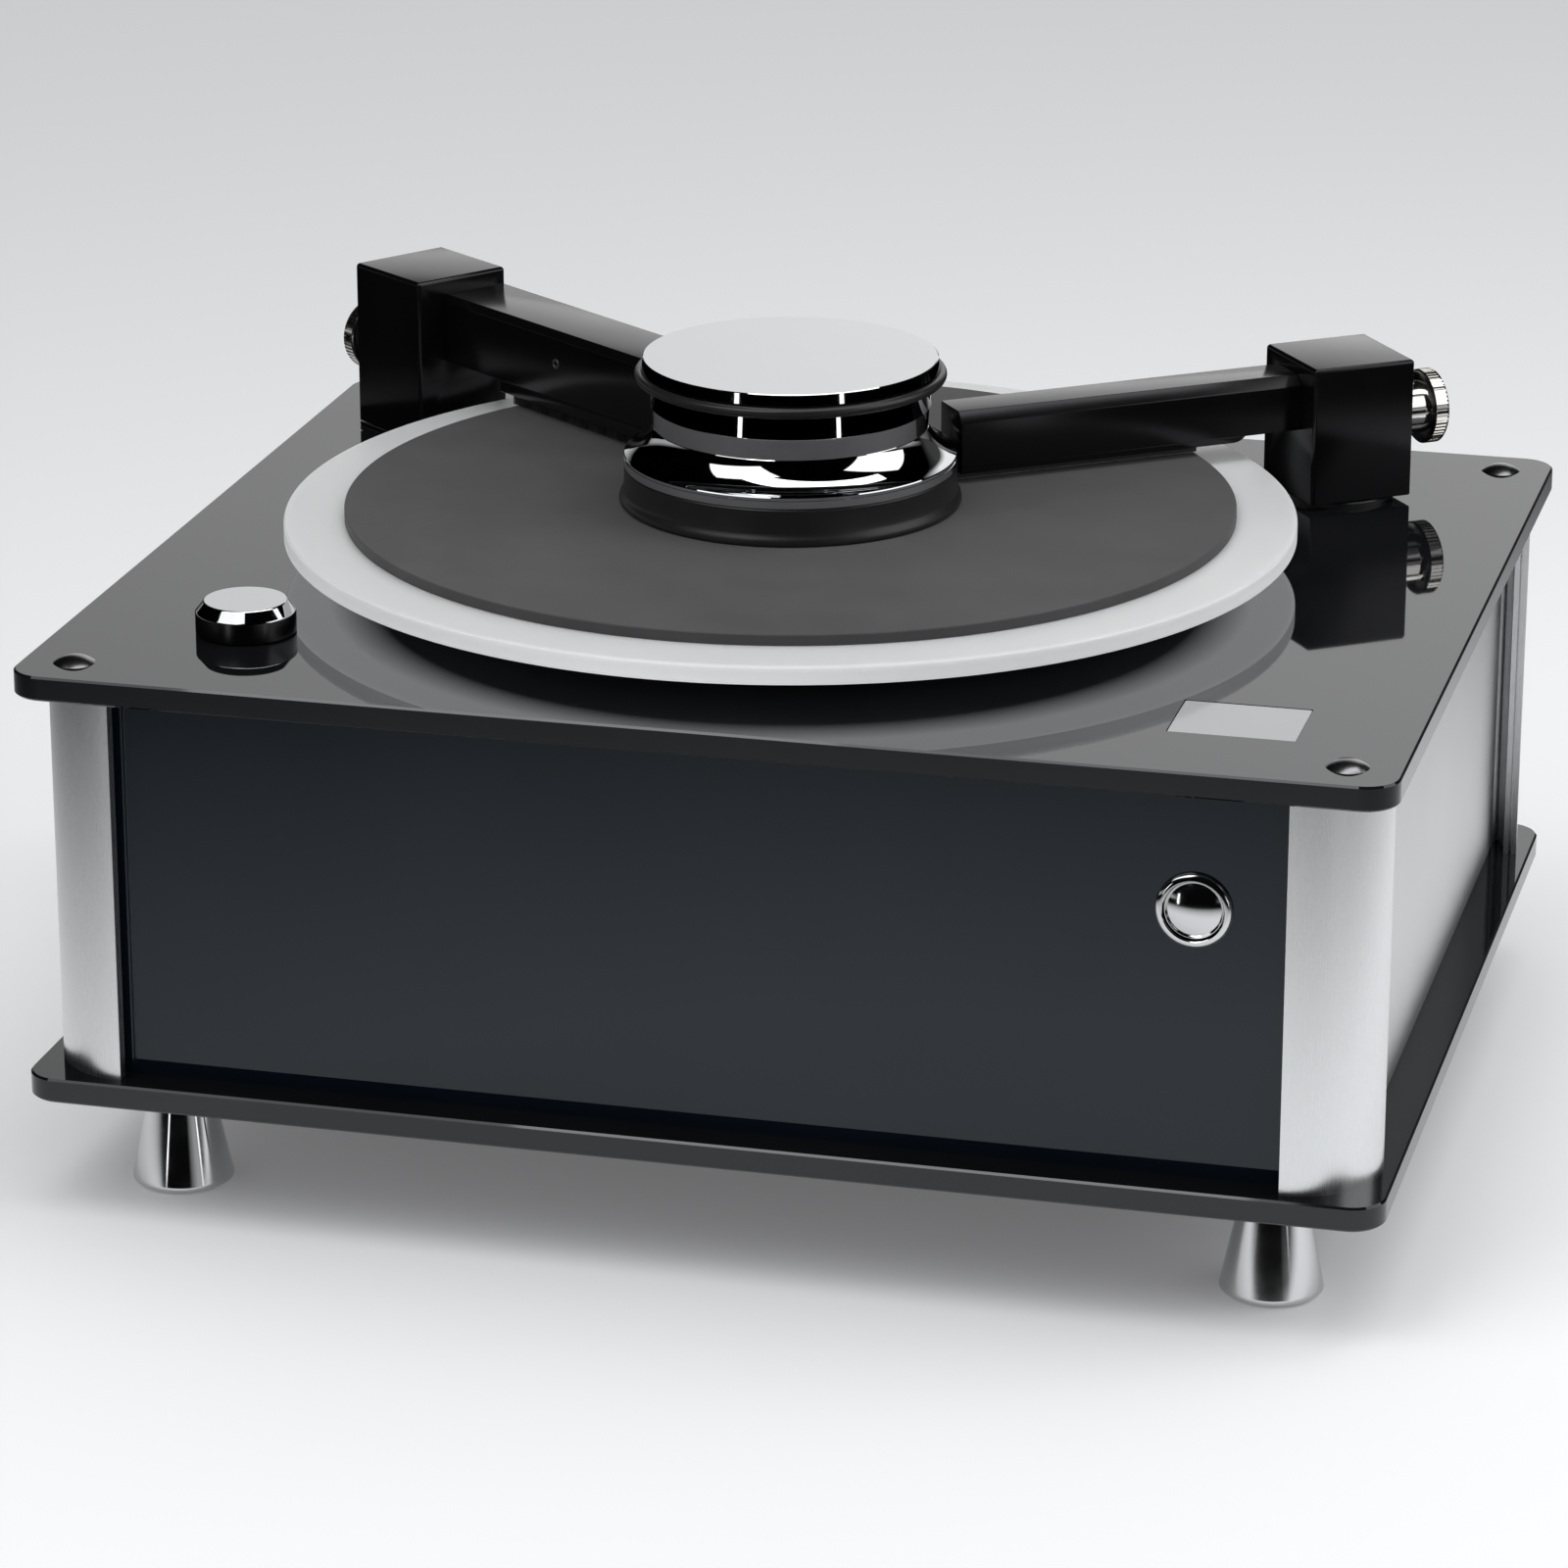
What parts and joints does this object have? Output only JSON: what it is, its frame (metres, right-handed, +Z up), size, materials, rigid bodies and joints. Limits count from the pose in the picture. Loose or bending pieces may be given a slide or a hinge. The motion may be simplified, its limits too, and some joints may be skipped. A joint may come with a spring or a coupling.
{
  "type": "record cleaning machine",
  "caption": "Black gloss box with satin aluminium corners, turntable platter, chrome record clamp and two swinging arms that scrub a vinyl record and suck it dry.",
  "frame": {"origin": "on the floor, under the middle of the case, at the underside of the foot pads", "axes": "+X to the right as seen from the front panel, +Y to the rear, +Z up along the platter's axis"},
  "size_m": [0.394, 0.322, 0.2266],
  "materials": {
    "black_gloss": "polished black acrylic",
    "satin_aluminium": "satin anodised",
    "black_anodised": "satin black anodised",
    "frosted_white": "frosted white acrylic",
    "mat_rubber": "fine matt rubber",
    "chrome": "mirror chrome",
    "black_rubber": "black rubber",
    "nickel": "bright nickel",
    "steel": "turned steel",
    "black_screw": "black domed screw",
    "window_glass": "grey glass pane",
    "bronze": "plain bearing bronze",
    "machined_aluminium": "machined",
    "felt": "dense dark felt",
    "nylon_bristle": "fine black nylon",
    "motor_paint": "grey enamel",
    "black_plastic": "moulded black plastic",
    "tank_plastic": "translucent moulded plastic",
    "clear_hose": "clear tubing",
    "circuit_board": "green circuit board"
  },
  "bodies": {
    "chassis": {"top_plate": "black_gloss", "bottom_plate": "black_gloss", "front_panel": "black_gloss", "rear_panel": "black_gloss", "corner_post_front_left": "satin_aluminium", "corner_post_front_right": "satin_aluminium", "corner_post_rear_left": "satin_aluminium", "corner_post_rear_right": "satin_aluminium", "left_panel": "satin_aluminium", "right_panel": "satin_aluminium", "feet": "chrome", "power_switch": "chrome", "foot_pads": "black_rubber", "drive_belt": "black_rubber", "suction_hose": "black_rubber", "turbine_hose": "black_rubber", "panel_nuts": "nickel", "motor_bracket": "steel", "foot_bolts": "steel", "base_screws": "steel", "deck_screws": "black_screw", "deck_window": "window_glass", "spindle_bushes": "bronze", "arm_bushes": "bronze", "bearing_housing": "machined_aluminium", "drive_motor": "motor_paint", "power_supply": "motor_paint", "suction_turbine": "black_plastic", "fluid_pump": "black_plastic", "selector_switch": "black_plastic", "mains_inlet": "black_plastic", "drain_spigot": "black_plastic", "waste_tank": "tank_plastic", "supply_tank": "tank_plastic", "dosing_hose": "clear_hose", "control_board": "circuit_board"},
    "platter": {"platter": "frosted_white", "platter_mat": "mat_rubber", "spindle": "steel", "driven_pulley": "machined_aluminium"},
    "clamp": {"clamp_weight": "chrome", "clamp_cap": "chrome", "clamp_o_ring": "black_rubber", "clamp_seal": "black_rubber"},
    "suction_arm": {"suction_tower": "black_anodised", "suction_pivot": "steel", "suction_bar": "black_anodised", "suction_nozzle": "black_anodised", "suction_lips": "felt"},
    "brush_arm": {"brush_tower": "black_anodised", "brush_pivot": "steel", "brush_bar": "black_anodised", "brush_holder": "black_anodised", "brush_bristles": "nylon_bristle"},
    "suction_screw": {"suction_thumbscrew": "nickel"},
    "brush_screw": {"brush_thumbscrew": "nickel"},
    "knob": {"control_knob": "chrome", "selector_shaft": "steel"},
    "button": {"power_button": "chrome"},
    "motor_rotor": {"motor_pulley": "steel"}
  },
  "joints": [
    {"name": "platter_spin", "type": "hinge", "parent": "chassis", "child": "platter", "pos_m": [-0.01, 0, 0.1795], "axis": [0, 0, 1], "continuous": true},
    {"name": "clamp_lift", "type": "slide", "parent": "platter", "child": "clamp", "axis": [0, 0, 1], "range_m": [0, 0.06]},
    {"name": "suction_arm_swing", "type": "hinge", "parent": "chassis", "child": "suction_arm", "pos_m": [0.1357, 0.1094, 0.1657], "axis": [0, 0, 1], "range_deg": [0, 65]},
    {"name": "brush_arm_swing", "type": "hinge", "parent": "chassis", "child": "brush_arm", "pos_m": [-0.1557, 0.1094, 0.1657], "axis": [0, 0, 1], "range_deg": [-60, 0]},
    {"name": "suction_screw_turn", "type": "hinge", "parent": "suction_arm", "child": "suction_screw", "pos_m": [0.1357, 0.1094, 0.1883], "axis": [0.8059, 0.592, 0], "range_deg": [0, 360]},
    {"name": "brush_screw_turn", "type": "hinge", "parent": "brush_arm", "child": "brush_screw", "pos_m": [-0.1557, 0.1094, 0.1883], "axis": [-0.8059, 0.592, 0], "range_deg": [0, 360]},
    {"name": "knob_turn", "type": "hinge", "parent": "chassis", "child": "knob", "pos_m": [-0.1438, -0.1065, 0.1641], "axis": [0, 0, 1], "range_deg": [-135, 135]},
    {"name": "power_button_press", "type": "slide", "parent": "chassis", "child": "button", "axis": [0, 1, 0], "range_m": [0, 0.0025], "stiffness_N_per_m": 400},
    {"name": "motor_spin", "type": "hinge", "parent": "chassis", "child": "motor_rotor", "pos_m": [-0.097, -0.022, 0.0867], "axis": [0, 0, 1], "continuous": true}
  ],
  "couplings": [
    {"joint": "motor_spin", "follows": "platter_spin", "ratio": 4.5}
  ]
}
